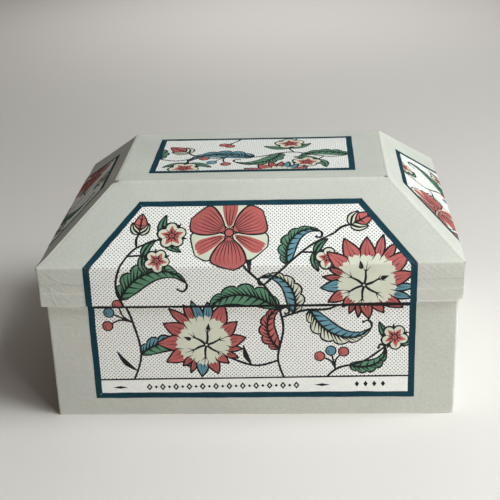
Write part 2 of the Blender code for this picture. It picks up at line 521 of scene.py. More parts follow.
def paper(name, colour, mottle=0.05):
    """Matt paper: clouded colour, fine speckle, a few fibres, and a soft tooth. Returns its nodes too."""
    n = Nodes(name, 0.82)
    tone = n.mix(n.between(n.noise(14, 3), 0.3, 0.7), shade(colour, 1 - mottle), shade(colour, 1 + mottle))
    tone = n.mix(1, tone, n.between(n.noise(750, 3), 0.3, 0.7, 0.92, 1.08), "MULTIPLY")
    fibres = n.noise(500, 2, stretch=(1, 0.12, 1))
    tone = n.mix(n.between(fibres, 0.68, 0.75, 0, 0.35), tone, shade(colour, 0.82))
    n.put(n.shader.inputs["Base Color"], tone)
    pressed = n.bump(n.noise(240, 4), 0.18 * MM, 0.7)
    normal = n.bump(n.noise(1400, 3), 0.06 * MM, 0.7, pressed)
    n.put(n.shader.inputs["Normal"], normal)
    return n, tone, normal


def covering_paper(name, colour):
    """The outer paper, handled for years: rubbed and chipped edges, wrinkles on the walls, two marks. Its
    worn edges on rim and tray are painted lighter, a painted highlight; a small tear near the top's corner is
    painted near black, painted shade; a crease on the front rim is painted lighter, a painted highlight.
    """
    n, tone, normal = paper(name, colour)
    _, x, y, z = n.place()
    wear = n.wear()
    rubbed = n.product(wear, n.between(n.noise(160, 4), 0.35, 0.65, 0.1, 0.6))
    tone = n.mix(rubbed, tone, shade(colour, 1.16))
    # Painted highlight, partly wear: worn edges much lighter, as the rounded edges of rim and tray catch the
    # light; weak from just under the eave upwards.
    edge = n.product(n.between(wear, 0.6, 0.95), n.between(n.noise(90, 3), 0.3, 0.6, 0.35, 1))
    edge = n.product(edge, n.between(z, EAVE - 1 * MM, EAVE - 5 * MM, 0.15, 1))
    tone = n.mix(edge, tone, shade(colour, 1.36))
    patch = n.noise(480, 5)
    chips = n.product(n.between(wear, 0.5, 0.8), n.between(patch, 0.63, 0.67, 0, 0.4))
    tone = n.mix(chips, tone, BARE_BOARD)
    scuff = n.near((-TOP_HALF[0], -0.55 * TOP_HALF[1], SUMMIT), 26 * MM, 14 * MM)
    scuffed = n.product(n.between(wear, 0.3, 0.6), n.between(patch, 0.47, 0.52, 0, 0.75))
    tone = n.mix(n.product(scuff, scuffed), tone, BARE_BOARD)
    # Painted shade: a small tear at the top's front left corner, painted near black for the shadow inside it.
    nick = n.near((-TOP_HALF[0] + 0.5 * MM, -TOP_HALF[1] + 1 * MM, SUMMIT), 1.5 * MM, 1 * MM)
    tone = n.mix(n.product(nick, 0.8), tone, (0.09, 0.07, 0.05, 1))
    speck = n.near(beside_hip(0.34, 6 * MM), 0.8 * MM, 0.6 * MM)
    tone = n.mix(speck, tone, (0.9, 0.9, 0.88, 1))

    along_wall = n.add("CombineXYZ")
    n.put(along_wall.inputs["X"], n.math("ADD", x, y))
    n.put(along_wall.inputs["Y"], z)
    slanted = n.add("Mapping")
    n.put(slanted.inputs["Vector"], along_wall.outputs[0])
    slanted.inputs["Rotation"].default_value = (0, 0, math.radians(35))
    wrinkles = n.noise(95, 5, stretch=(1, 3.4, 1), coordinate=slanted.outputs[0])
    below_eave = n.between(z, EAVE + 2 * MM, EAVE - 3 * MM, 0.2, 1)
    above_rim = n.between(z, RIM_BOTTOM - 3 * MM, RIM_BOTTOM + 5 * MM, 0.3, 1)
    cloud = n.between(n.noise(22, 2), 0.35, 0.65, 0.3, 1)
    share = n.product(n.product(below_eave, above_rim), cloud)
    normal = n.bump(n.product(wrinkles, share), 0.95 * MM, 1, normal)
    brushed = n.noise(130, 4, stretch=(0.3, 1.5, 1), coordinate=along_wall.outputs[0])
    lower = n.between(z, RIM_BOTTOM + 3 * MM, RIM_BOTTOM - 3 * MM)
    normal = n.bump(n.product(brushed, lower), 0.4 * MM, 1, normal)

    down = n.between(z, RIM_BOTTOM + 22 * MM, RIM_BOTTOM)
    ridge_x = n.math("MULTIPLY_ADD", n.product(down, down), 5 * MM, 12 * MM - LID_HALF[0])
    aside = n.math("ABSOLUTE", n.math("SUBTRACT", x, ridge_x))
    on_front = n.between(y, 4 * MM - LID_HALF[1], 2 * MM - LID_HALF[1])
    ends = n.product(n.between(down, 0, 0.1), on_front)
    ridge = n.product(n.between(aside, 1.1 * MM, 0), ends)
    # Painted highlight: the crease's ridge is painted lighter as well as raised by the bump.
    tone = n.mix(n.product(ridge, 0.3), tone, shade(colour, 1.25))
    n.put(n.shader.inputs["Base Color"], tone)
    n.put(n.shader.inputs["Normal"], n.bump(ridge, 0.3 * MM, 1, normal))
    return n.material


def beside_hip(down, inward):
    """A point on the front slope near its right hip: this share of the way down, and this far inward."""
    x = TOP_HALF[0] + (LID_HALF[0] - TOP_HALF[0]) * down - inward
    y = TOP_HALF[1] + (LID_HALF[1] - TOP_HALF[1]) * down
    return (x, -y, SUMMIT + (EAVE - SUMMIT) * down)


def dotted_paper(name, colour, dot):
    """Printed ground: paper with staggered dots, slightly uneven as a wood block prints them."""
    n = Nodes(name, 0.8)
    uv = n.add("UVMap", uv_map="print").outputs["UV"]
    parts = n.add("SeparateXYZ")
    n.put(parts.inputs[0], uv)
    wobble = n.noise(18, 2, coordinate=uv)
    cell = DOT_PITCH / math.sqrt(2) / UV_SPAN
    total = n.math("ADD", parts.outputs["X"], parts.outputs["Y"])
    apart = n.math("SUBTRACT", parts.outputs["X"], parts.outputs["Y"])
    squares = []
    for way in (total, apart):
        turned = n.math("MULTIPLY_ADD", way, math.sqrt(0.5) / cell, n.product(wobble, 0.5))
        inside = n.math("SUBTRACT", n.math("FRACT", turned), 0.5)
        squares.append(n.product(inside, inside))
    distance = n.math("SQRT", n.math("ADD", *squares))
    pressure = n.noise(60, 2, coordinate=uv)
    radius = n.between(pressure, 0.3, 0.7, 0.19, 0.25)
    ink = n.between(n.math("SUBTRACT", distance, radius), 0.04, -0.04)
    tone = n.mix(n.product(ink, 0.94), shade(colour, 1), shade(dot, 1))
    n.put(n.shader.inputs["Base Color"], tone)
    n.put(n.shader.inputs["Normal"], n.bump(n.noise(1200, 3), 0.05 * MM, 0.6))
    return n.material


def ink(name, colour, uneven=0.18, roughness=0.7, gloss=0.3):
    """Printed or brushed colour: patchy, thinner in places and on folds, with the paper's tooth."""
    n = Nodes(name, roughness)
    n.shader.inputs["Specular IOR Level"].default_value = gloss
    patch = n.noise(60, 4)
    streak = n.noise(260, 3, stretch=(1, 0.3, 1))
    tone = n.mix(n.between(patch, 0.3, 0.7), shade(colour, 1 - uneven), shade(colour, 1 + uneven))
    tone = n.mix(n.between(streak, 0.4, 0.8, 0, 0.4), tone, shade(colour, 1 + 1.6 * uneven))
    rubbed = n.product(n.wear(), n.between(n.noise(600, 4), 0.45, 0.7, 0, 0.12))
    tone = n.mix(rubbed, tone, shade(PAPER_WHITE, 0.8))
    n.put(n.shader.inputs["Base Color"], tone)
    n.put(n.shader.inputs["Normal"], n.bump(n.noise(1200, 3), 0.04 * MM, 0.6))
    return n.material


def board(name, colour):
    """Greyboard: pulped fibres in several greys."""
    n = Nodes(name, 0.92)
    flecks = n.noise(700, 5, stretch=(1, 0.4, 1))
    cloud = n.noise(40, 3)
    tone = n.mix(n.between(cloud, 0.3, 0.7), shade(colour, 0.88), shade(colour, 1.1))
    tone = n.mix(n.between(flecks, 0.6, 0.7, 0, 0.6), tone, shade(colour, 0.55))
    n.put(n.shader.inputs["Base Color"], tone)
    n.put(n.shader.inputs["Normal"], n.bump(n.noise(500, 4), 0.15 * MM, 0.8))
    return n.material


PAPER_WHITE = (0.885, 0.89, 0.85)
BARE_BOARD = (0.50, 0.42, 0.32, 1)
COVERING = (0.565, 0.575, 0.515)
TEAL = (0.007, 0.042, 0.061)
MATERIALS = {
    "covering": covering_paper("covering_paper", COVERING),
    # A darker copy of the covering: painted shade along the edges of papers that lie over others.
    "seam": covering_paper("covering_paper_edge", [0.74 * c for c in COVERING]),
    "lining": paper("lining_paper", (0.74, 0.71, 0.64))[0].material,
    "board": board("greyboard", (0.33, 0.31, 0.27)),
    "teal": ink("border_teal", TEAL, 0.22, 0.66, 0.12),
    "joint": ink("border_joint", [0.45 * c for c in TEAL], 0.2, 0.7, 0.1),
    "ground": dotted_paper("label_ground", PAPER_WHITE, (0.035, 0.038, 0.036)),
    "paper": paper("label_paper", PAPER_WHITE, mottle=0.03)[0].material,
    "cream": ink("ink_cream", (0.66, 0.68, 0.55), 0.06),
    "red": ink("ink_red", (0.47, 0.115, 0.108)),
    "green": ink("ink_green", (0.10, 0.25, 0.15)),
    "blue": ink("ink_blue", (0.12, 0.29, 0.36)),
    "line": ink("ink_black", (0.014, 0.015, 0.016), 0.3, 0.7, 0.15),
}
# Each kind of sheet: its colours, and its slot in the record
KINDS = {
    "paper": (["covering", "seam"], "covering_paper"),
    "border": (["teal", "joint", "covering"], "label_border"),
    "print": (["ground", "paper", "cream", "red", "green", "blue", "line"], "label_print"),
}


# ---------------------------------------------------------------------------------------------------
# Covers that go round all four sides


def rounded_ring(half, radius, out, z):
    """A level rectangle with rounded corners, out metres beyond half, its points closer near corners."""
    radius = max(radius + out, 0.2 * MM)
    x = half[0] + out - radius
    y = half[1] + out - radius
    arcs = []
    for k, centre in enumerate(((x, -y), (x, y), (-x, y), (-x, -y))):
        arc = [polar(centre, radius, 90 * (k - 1 + i / CORNER_STEPS)) for i in range(CORNER_STEPS + 1)]
        arcs.append([p.to_3d() + Vector((0, 0, z)) for p in arc])
    ring = []
    for arc, following in zip(arcs, arcs[1:] + arcs[:1]):
        ring += arc
        for i in range(1, SIDE_STEPS):
            ring.append(arc[-1].lerp(following[0], 0.5 - 0.5 * math.cos(math.pi * i / SIDE_STEPS)))
    return ring


def fillet(path):
    """The open path with each inner corner rounded."""
    points = [Vector(p) for p in path]
    rounded = [points[0]]
    for before, corner, after in zip(points, points[1:], points[2:]):
        a = (before - corner).normalized()
        b = (after - corner).normalized()
        for t in steps(0, 1, 4):
            rounded.append(corner + (a * (1 - t) ** 2 + b * t**2) * FOLD_RADIUS)
    return rounded + [points[-1]]


def spaced(path, pitch):
    """The path with points added so that none are further apart than pitch."""
    points = [path[0]]
    for a, b in zip(path, path[1:]):
        count = max(1, math.ceil((b - a).length / pitch))
        points += [a.lerp(b, i / count) for i in range(1, count + 1)]
    return points


def offset_path(path, distance):
    """The open path moved to its right by distance."""
    ways = [(b - a).normalized() for a, b in zip(path, path[1:])]
    normals = [Vector((w.y, -w.x)) for w in ways]
    moved = []
    for i, p in enumerate(path):
        before = normals[max(i - 1, 0)]
        after = normals[min(i, len(normals) - 1)]
        mitre = (before + after).normalized()
        moved.append(p + mitre * (distance / max(mitre.dot(after), 0.3)))
    return moved


def wrap(name, node, ink, half, path):
    """A paper strip round all four sides, its section folded along path: (out, height)."""
    body = body_of(node)
    outer = spaced(fillet(path), 5 * MM)
    section = outer + offset_path(outer, -SHEET)[::-1]
    bm = bmesh.new()
    wear = bm.verts.layers.float.new("wear")
    rows = []
    for out, z in section:
        from_fold = min(abs(z - fold) for _, fold in path)
        row = []
        for p in rounded_ring(half, EDGE_RADIUS[body], out, z):
            from_corner = max(half[0] - abs(p.x), half[1] - abs(p.y))
            vert = bm.verts.new(ripple(p, body))
            vert[wear] = max(0, 1 - min(from_corner, from_fold) / WORN)
            row.append(vert)
        rows.append(row)
    count = len(rows[0])
    for low, high in zip(rows, rows[1:] + rows[:1]):
        for i in range(count):
            j = (i + 1) % count
            bm.faces.new((low[i], low[j], high[j], high[i])).smooth = True
    bmesh.ops.recalc_face_normals(bm, faces=bm.faces)
    finish_piece(add_mesh(name, bm, [ink], 50), node)


def make_wraps():
    turned_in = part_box("lid_right_rim_board")[0].x - LID_HALF[0] - STEP
    wrap("rim_cover", "lid_rim_cover", "covering", LID_HALF, [
        (turned_in, RIM_BOTTOM + TURN_IN),
        (turned_in, RIM_BOTTOM),
        (0, RIM_BOTTOM),
        (0, EAVE - 0.6 * MM),
    ])
    turned_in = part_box("base_right_board")[0].x - TRAY_HALF[0] - STEP
    wrap("tray_cover", "base_wall_cover", "covering", TRAY_HALF, [
        (-TURN_IN, tray_low.z),
        (0, tray_low.z),
        (0, tray_high.z),
        (turned_in, tray_high.z),
        (turned_in, tray_high.z - TURN_IN),
    ])
    low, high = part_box("base_wall_lining")
    wrap("tray_wall_lining", "base_wall_lining", "lining", TRAY_HALF, [
        (turned_in - STEP, high.z),
        (turned_in - STEP, low.z),
    ])


# ---------------------------------------------------------------------------------------------------
# Papers on the lid


def uneven(outline, amount, seed=0):
    """The outline as it is cut by hand: points added along it, each up to amount off the straight line."""
    cut = []
    for a, b in zip(outline, outline[1:] + outline[:1]):
        a = Vector(a)
        way = Vector(b) - a
        aside = way.orthogonal().normalized() * amount * 2
        count = max(1, round(way.length / CUT_PITCH))
        cut.append(a)
        for i in range(1, count):
            p = a + way * (i / count)
            cut.append(p + aside * noise.noise(Vector((p.x / 0.02, p.y / 0.02, seed))))
    return cut


def covering(outline, width):
    """Covering paper with a dark line this wide inside its edge: painted shade of the step where it lies on
    the paper under it.
    """
    shapes = [("covering", outline)]
    for a, b in zip(outline, outline[1:] + outline[:1]):
        inward = Vector((a.y - b.y, b.x - a.x)).normalized() * width
        # painted shade: a dark strip inside each edge of the paper
        shapes.append(("seam", [a, b, b + inward, a + inward]))
    return shapes


def hip_angle(side):
    """Between a slope's eave and its hip."""
    i = across(side)
    return math.atan2(slope_length(side), LID_HALF[1 - i] - TOP_HALF[1 - i])


def off_hip(point, way, degrees_left, width):
    """From a point on a hip, a point this far from the hip, along the way turned left by an angle."""
    a = math.radians(degrees_left)
    return Vector(point) + Matrix.Rotation(a, 2) @ Vector(way) * (width / abs(math.sin(a)))


def side_paper_edge(side):
    """The right edge of a left or right slope paper, which goes on over the hip, and its top corner."""
    corner = LID_HALF[1]
    upper = TOP_HALF[1]
    length = slope_length(side)
    hip = Vector((upper - corner, length)).normalized()
    other = math.degrees(hip_angle("front"))
    return [
        Vector((corner - 0.1 * MM, flap_low - EAVE)),
        Vector((corner - 0.1 * MM, -0.1 * MM)),
        off_hip((corner, 0), hip, -0.95 * other, TURN_OVER),
        off_hip((upper, length), -hip, 0.95 * (180 - other), TURN_OVER),
        Vector((upper, length)),
        Vector((upper - 1.2 * TURN_OVER, length + TURN_OVER)),
    ]


def front_paper_edge(side):
    """The right edge of a front or back slope paper, just inside the hip, and its top corner."""
    corner = LID_HALF[0]
    upper = TOP_HALF[0]
    length = slope_length(side)

    def inside_hip(t, more=0.0):
        return Vector((corner + (upper - corner) * t - HIP_INSET - more * MM, length * t))

    return [
        Vector((corner - RIM_INSET, flap_low - EAVE)),
        Vector((corner - RIM_INSET, 0)),
        inside_hip(0.1),
        inside_hip(0.33, 0.5),
        inside_hip(0.36, -0.1),
        inside_hip(1),
        Vector((upper - HIP_INSET - TURN_OVER, length + TURN_OVER)),
    ]


def make_slope_papers():
    for seed, side in enumerate(SIDES):
        i = across(side)
        corner = LID_HALF[1 - i]
        upper = TOP_HALF[1 - i]
        length = slope_length(side)
        edge = front_paper_edge(side) if i else side_paper_edge(side)
        outline = uneven(edge + [Vector((-p.x, p.y)) for p in reversed(edge)], 0.3 * MM, seed)
        creases = [
            ((-corner, 0), (corner, 0)),
            ((corner, 0), (upper, length)),
            ((-corner, 0), (-upper, length)),
            ((-upper, length), (upper, length)),
        ]
        name = f"{side}_slope_paper"
        shapes = covering(outline, 0.4 * MM)
        sheet(name, f"lid_{name}", "paper", slope_face(side), outline, 1 + i, shapes, creases)


def make_top_paper():
    x = TOP_HALF[0] - TOP_INSET
    y = TOP_HALF[1] - TOP_INSET
    outline = uneven([(x, -y), (x, y), (-x, y), (-x, -y)], 0.4 * MM, 9)
    sheet("top_paper", "lid_top_paper", "paper", top_face(), outline, 3, covering(outline, 0.5 * MM))


# ---------------------------------------------------------------------------------------------------
# Drawings: shapes of ink in millimetres, in the order in which they are printed

# Heights on the side sheets, from the eave
# RIM_SHADOW_RULE: a black rule just under the lid's edge, painted shadow of the rim on the tray's wall
RIM_SHADOW_RULE = -44.2
FOOT_RULE = (-127.6, -124.8)     # its left and right ends
FOOT_MARKS = -135.6
SHEET_END = -150


def smooth(points, count=5):
    """Points of a curve that passes through the points given, this many from each to the next."""
    points = [Vector(p) for p in points]
    points = [points[0]] + points + [points[-1]]
    curve = []
    for a, b, c, d in zip(points, points[1:], points[2:], points[3:]):
        for k in range(count):
            t = k / count
            square = 2 * a - 5 * b + 4 * c - d
            cubic = 3 * b - a - 3 * c + d
            curve.append((2 * b + (c - a) * t + square * t**2 + cubic * t**3) / 2)
    return curve + [points[-2]]


def along(curve, t):
    """The point at a share t of the way along a curve, counted in its points."""
    place = min(max(t, 0), 1) * (len(curve) - 1)
    i = min(int(place), len(curve) - 2)
    return curve[i].lerp(curve[i + 1], place - i)


def steps(low, high, count):
    return [low + (high - low) * i / count for i in range(count + 1)]


def polar(centre, radius, degrees):
    a = math.radians(degrees)
    return Vector(centre) + Vector((math.cos(a), math.sin(a))) * radius


def circle(centre, radius, count=20):
    return [polar(centre, radius, 360 * i / count) for i in range(count)]


class Drawing:
    """Inked shapes. Colours lie a little off their outlines, as they do when they are laid by hand."""

    misfit = Vector((0.45, -0.35))
    heavy = 1.5                  # the lines' weight, as a share of the widths given
    lobe_depth = 0.32            # of a lobed leaf, as a share of its half width
    berry = 5.2

    def __init__(self):
        self.shapes = []

    def fill(self, ink, points):
        shift = self.misfit if ink in ("red", "green", "blue") else Vector((0, 0))
        self.shapes.append((ink, [Vector(p) + shift for p in points]))

    def stroke(self, points, width=1.5, start=0.6, end=0.6):
        """A line through points; start and end are its widths at its ends, as shares of width."""
        points = [Vector(p) for p in points]
        last = len(points) - 1
        edges = []
        for i, p in enumerate(points):
            before = (p - points[i - 1]).normalized() if i else Vector((0, 0))
            after = (points[i + 1] - p).normalized() if i < last else Vector((0, 0))
            way = (before + after).normalized()
            t = i / last
            share = min(1, start + (1 - start) * t / 0.4, end + (1 - end) * (1 - t) / 0.6)
            weight = self.heavy + 0.25 * noise.noise(Vector((p.x, p.y, width)) * 0.4)
            aside = Vector((-way.y, way.x)) * (width / 2 * share * weight)
            edges.append((p + aside, p - aside))
        for (a, b), (c, d) in zip(edges, edges[1:]):
            self.shapes.append(("line", [a, b, d, c]))

    def stem(self, points, width):
        self.stroke(smooth(points), width, 0.8, 0.8)

    def ball(self, centre, radius, ink="line"):
        self.shapes.append((ink, circle(centre, radius, 14)))

    def petal(self, left, right, whole, veins):
        """A petal between two edges from its base to its tip, red all over or only in its middle."""
        left = smooth(left)
        right = smooth(right)

        def at(across, t):
            return along(left, t).lerp(along(right, t), across)

        outline = [at(0, t) for t in steps(0, 1, 24)] + [at(1, t) for t in steps(1, 0, 24)]
        self.fill("cream", outline)
        if whole:
            self.fill("red", outline)
        else:
            a, b = 0.28, 0.72
            low, high = 0.1, 0.8
            end = [at(s, high + 0.05 * math.cos(9 * i)) for i, s in enumerate(steps(a, b, 6))]
            start = [at(s, low + 0.04 * math.cos(7 * i)) for i, s in enumerate(steps(b, a, 6))]
            sides = [[at(s, t) for t in steps(low, high, 8)[1:-1]] for s in (a, b)]
            self.fill("red", sides[0] + end + sides[1][::-1] + start)
        for vein in veins:
            self.stroke([at(vein, t) for t in steps(0.15, 0.75, 8)], 0.6, 0.9, 0.1)
        self.stroke(left, 1.4)
        self.stroke(right, 1.4)

    def plume(self, spine, width, inks, lobes=(0, 0), hatch=(0, 0), fat=0.7, bold=1.1):
        """A long leaf along a spine from its base.

        inks, lobes and hatch are the colour, the number of lobes and the number of hatched lines on its
        left and on its right.
        """
        line = smooth(spine, 12)
        last = len(line) - 1
        ways = [(line[min(i + 1, last)] - line[max(i - 1, 0)]).normalized() for i in range(last + 1)]
        edges = []
        for side, count in zip((1, -1), lobes):
            edge = []
            for i, (p, way) in enumerate(zip(line, ways)):
                t = i / last
                half = width / 2 * math.sin(math.pi * t**fat)
                if count:
                    rise = math.sin(math.pi * (t * count % 1)) ** 0.6
                    half *= 1 - self.lobe_depth + self.lobe_depth * 1.25 * rise
                edge.append(p + Vector((-way.y, way.x)) * (side * half))
            edges.append(edge)
        self.fill("cream", edges[0] + edges[1][::-1])
        self.fill(inks[0], edges[0] + line[::-1])
        self.fill(inks[1], line + edges[1][::-1])
        for edge, count in zip(edges, hatch):
            for k in range(count):
                t = (k + 0.6) / (count + 0.6)
                foot = along(line, t - 0.05)
                self.stroke([foot, foot.lerp(along(edge, t + 0.05), 0.9)], bold, 1, 0.15)
        self.stroke(line, 1.6, 1, 0.3)
        for edge in edges:
            self.stroke(edge, 1.3)

    def leaf(self, base, tip, width, ink, bow=0.0, hatch=0):
        """A plume along a spine that bows to its left by this share of its length."""
        way = tip - base
        aside = Vector((-way.y, way.x)) * bow
        spine = [base, base + way * 0.5 + aside, base + way]
        self.plume(spine, width, (ink, ink), hatch=(hatch, hatch))

    def blossom(self, centre, radius, petals=5, turn=90.0):
        """A round-petalled flower with a star in it and black sepals between its petals."""
        each = 360 / petals
        for k in range(petals):
            a = turn + each * (k + 0.5)
            sepal = [polar(centre, radius * 1.12, a), polar(centre, radius * 0.7, a - 13)]
            self.shapes.append(("line", sepal + [polar(centre, radius * 0.7, a + 13)]))
        lobes = []
        for a in steps(0, 360 - 360 / (12 * petals), 12 * petals - 1):
            swell = abs(math.cos(math.radians(a - turn) * petals / 2)) ** 0.55
            lobes.append(polar(centre, radius * (0.60 + 0.38 * swell), a))
        self.fill("cream", lobes)
        self.stroke(lobes + lobes[:1], 1.4)
        star = []
        for k in range(2 * petals):
            star.append(polar(centre, radius * (0.40 if k % 2 else 0.80), turn + each * k / 2))
        self.fill("red", star)
        for k in range(petals):
            a = turn + each * k
            self.stroke([polar(centre, radius * r, a) for r in (0.2, 0.35, 0.52)], 1.1, 1, 0.2)
            b = a + each / 2
            self.stroke([polar(centre, radius * r, b) for r in (0.25, 0.4, 0.62)], 0.6, 0.8, 0.4)
        self.ball(centre, radius * 0.24)
        self.ball(centre, radius * 0.16, "red")
        self.ball(centre, radius * 0.06)

    def fringed(self, heart, radius, petals=13, turn=90.0):
        """A fringed flower, its longest petals towards an angle, with veins and black seeds."""
        each = 360 / petals
        spread = 0.56 * each
        ring = []
        for k in range(petals):
            lean = 1 + 0.22 * math.cos(math.radians(each * k)) - 0.1 * (k % 3 == 1)
            ink = "blue" if k % 7 == 5 else "red"
            ring.append((turn + each * k, radius * lean, 1 + (k % 4 == 0), ink))
        body = []
        for angle, length, _, _ in ring:
            body += [polar(heart, length * 0.62, angle + b) for b in (spread, 0, -spread)]
        self.fill("cream", body)
        for petal in ring:
            self.fringed_petal(heart, spread, *petal)
        for k in range(6):
            self.vein(heart, turn + 60 * k + 20, radius * 0.55)
        for k in (-1, 1):
            self.seed(polar(heart, radius * 0.45, turn + 38 * k), radius * 0.2, turn + 38 * k)

    def fringed_petal(self, heart, spread, angle, length, teeth, ink):
        """A cream petal whose teeth are inked, spreading this far to each side of its angle."""
        base = polar(heart, length * 0.3, angle)
        left, right = (polar(heart, length * 0.55, angle + b) for b in (spread * 0.9, -spread * 0.9))
        notches = [polar(heart, length * 0.66, angle + b) for b in steps(spread, -spread, teeth)]
        fringe = []
        for k in range(teeth):
            b = spread * (1 - (2 * k + 1) / teeth)
            tip = polar(heart, length * (1.0 - 0.05 * (k % 2)), angle + b * 1.15 + 2)
            out = (tip - base).orthogonal().normalized() * (length * 0.025)
            fringe += [notches[k], notches[k].lerp(tip, 0.5) + out, tip, notches[k + 1].lerp(tip, 0.4) - out]
        fringe.append(notches[-1])
        self.fill("cream", [base, left] + fringe + [right])
        ragged = []
        for i, b in enumerate(steps(-spread * 0.9, spread * 0.9, 5)):
            ragged.append(polar(heart, length * (0.63 - 0.05 * (i % 2)), angle + b))
        self.fill(ink, fringe + ragged)
        self.stroke([left, notches[0]], 0.9, 0.2, 0.9)
        self.stroke([notches[-1], right], 0.9, 0.9, 0.2)
        for k in range(teeth):
            notch, belly, tip, back, after = fringe[4 * k:4 * k + 5]
            self.stroke(smooth([notch, belly, tip], 4), 1.3, 0.8, 0.7)
            self.stroke(smooth([tip, back, after], 4), 1.3, 0.7, 0.8)
            self.stroke([after, after.lerp(base, 0.45)], 1.1, 1, 0.1)
            self.stroke([tip, tip.lerp(base, 0.3)], 0.7, 0.9, 0.1)
            for share in (0.35, 0.65):
                foot = notch.lerp(after, share)
                self.stroke([foot.lerp(base, 0.12), foot.lerp(tip, 0.5)], 0.7, 0.9, 0.1)

    def vein(self, heart, angle, length):
        """A line from a flower's heart that forks in three."""
        root = polar(heart, 1, angle)
        fork = polar(heart, length * 0.55, angle + 4)
        self.stroke(smooth([root, polar(heart, length * 0.3, angle - 2), fork]), 1.7, 1, 0.7)
        for b in (-9, 2, 13):
            self.stroke([fork, polar(heart, length * (1 - abs(b) / 50), angle + b)], 1.0, 0.9, 0.1)

    def seed(self, centre, length, angle):
        """A black drop, its point towards the angle."""
        back = polar(centre, -length / 6, angle)
        round_end = [polar(back, length / 4, angle + a) for a in steps(60, 300, 8)]
        self.shapes.append(("line", round_end + [polar(centre, length / 2, angle)]))

    def rosette(self, centre, radius, petals=6, turn=90.0):
        """A wide open flower with broad petals, red and cream in turn."""
        each = 360 / petals
        for k in [*range(0, petals, 2), *range(1, petals, 2)]:
            angle = turn + each * k
            base = polar(centre, radius * 0.08, angle)
            tip = polar(centre, radius, angle + 0.12 * each)
            edges = []
            for s in (0.6, -0.6):
                middle = polar(centre, radius * 0.52, angle + s * each)
                edges.append([base, middle, polar(centre, radius * 0.9, angle + s * 0.75 * each), tip])
            veins = steps(0.15, 0.85, 6)
            whole = k % 2 == 1
            self.petal(*edges, whole, veins if whole else veins[2:5])
        self.ball(centre, radius * 0.13)
        self.ball(centre, radius * 0.09, "red")

    def feather(self, root, heading, length, inks, bend):
        """A long leaf, lobed on its outer side, that bends as it goes and curls at its tip."""
        spine = [root]
        for k in range(6):
            spine.append(polar(spine[-1], length / 6, heading + bend * k * (1 + k / 6)))
        hatch = (round(length / 8), round(length / 4))
        lobes = (0, 6)
        if bend < 0:
            hatch = hatch[::-1]
            lobes = lobes[::-1]
        self.plume(spine, 0.27 * length, inks, lobes, hatch, 0.62, 1.5)
        curl = [spine[-1]]
        for k in (7, 9, 12):
            curl.append(polar(curl[-1], length / 16, heading + bend * k * 2))
        self.stroke(smooth(curl), 1.7, 0.9, 0.6)
        self.ball(curl[-1], 1.445)

    def sprig(self, root, heading, length, radius=12, petals=5):
        """A blossom on a bent stalk with two small leaves."""
        fork = polar(root, length * 0.5, heading + 12)
        tip = polar(root, length, heading)
        self.stem([root, fork, tip], 1.5)
        for side in (-1, 1):
            self.leaf(fork, polar(fork, radius * 1.7, heading + 65 * side), radius * 0.6, "green", 0.1 * side)
        self.blossom(tip, radius, petals, heading)

    def berries(self, root, heading, length, inks=("red", "blue", "red")):
        """Round berries on stalks that part like a fan."""
        for k, ink in enumerate(inks):
            spread = 34 * (k - (len(inks) - 1) / 2)
            tip = polar(root, length, heading + spread)
            self.stem([root, polar(root, length * 0.5, heading + spread * 0.4), tip], 1.3)
            self.ball(tip, self.berry + 0.7)
            self.shapes.append((ink, circle(tip, self.berry - 0.7)))
            self.stroke([polar(tip, self.berry * 0.55, a) for a in steps(150, 260, 8)], 0.6, 0.3, 0.3)

    def bud(self, root, heading, length):
        """A closed flower in its two sepals."""
        base = polar(root, length * 0.45, heading)
        self.stem([root, polar(root, length * 0.25, heading + 12), base], 1.8)
        self.leaf(base, polar(root, length * 1.1, heading), 0.4 * length, "red", hatch=3)
        for side in (-1, 1):
            tip = polar(base, 0.42 * length, heading + 34 * side)
            self.leaf(base, tip, 0.2 * length, "cream", 0.15 * side)

    def thorn(self, root, heading, length):
        """A thin black leaf."""
        way = polar(root, length, heading) - root
        aside = Vector((-way.y, way.x))
        middle = root + way * 0.5 + aside * 0.08
        for side in (-1, 1):
            edge = smooth([root, middle + aside.normalized() * (side * 2), root + way])
            self.stroke(edge, 1.0)
            self.fill("line", edge + smooth([root + way, middle, root])[1:])

    def vine(self, points, shoots=()):
        """A stem with its shoots: (share along it, degrees to the left of its way, motif, its sizes ...)."""
        curve = smooth(points, 10)
        for t, angle, motif, *sizes in shoots:
            way = along(curve, t + 0.03) - along(curve, t - 0.03)
            motif(along(curve, t), math.degrees(math.atan2(way.y, way.x)) + angle, *sizes)
        self.stroke(curve, 1.7, 0.8, 0.8)


def lozenge(u, v, wide, tall):
    return [(u + wide, v), (u, v + tall), (u - wide, v), (u, v - tall)]


def print_foot(d, half):
    """A black rule just below the lid's edge, painted shadow where the lid's rim shades the tray, and at the
    foot a plain band with printers' lozenges and dots.
    """
    shadow_rule = [(u, RIM_SHADOW_RULE + 0.25 * noise.noise(Vector((u / 9, 0, 0)))) for u in steps(-half, half, 60)]
    d.stroke(shadow_rule, 2.4, 1, 1)
    left = Vector((-half, FOOT_RULE[0]))
    right = Vector((half, FOOT_RULE[1]))
    d.shapes.append(("paper", [left, right, Vector((half, SHEET_END)), Vector((-half, SHEET_END))]))
    d.stroke([left.lerp(right, t) for t in steps(0, 1, 24)], 1.2, 1, 1)
    marks = [(share, 0, 8, 1.6) for share in (-0.86, 0.44)]
    marks += [(-0.67 + 0.043 * k, 0, *((1.7, 1.9) if k % 2 else (3.2, 4.2))) for k in range(23)]
    marks += [(0.66 + 0.055 * k, 0.5, 2.2, 3.4) for k in range(4)]
    for share, rise, wide, tall in marks:
        u = half * share
        v = FOOT_MARKS + 1.4 * share + rise
        d.shapes.append(("line", lozenge(u, v, wide, tall)))
        if tall > 4:
            d.shapes.append(("paper", lozenge(u, v, 1.2, 1.8)))


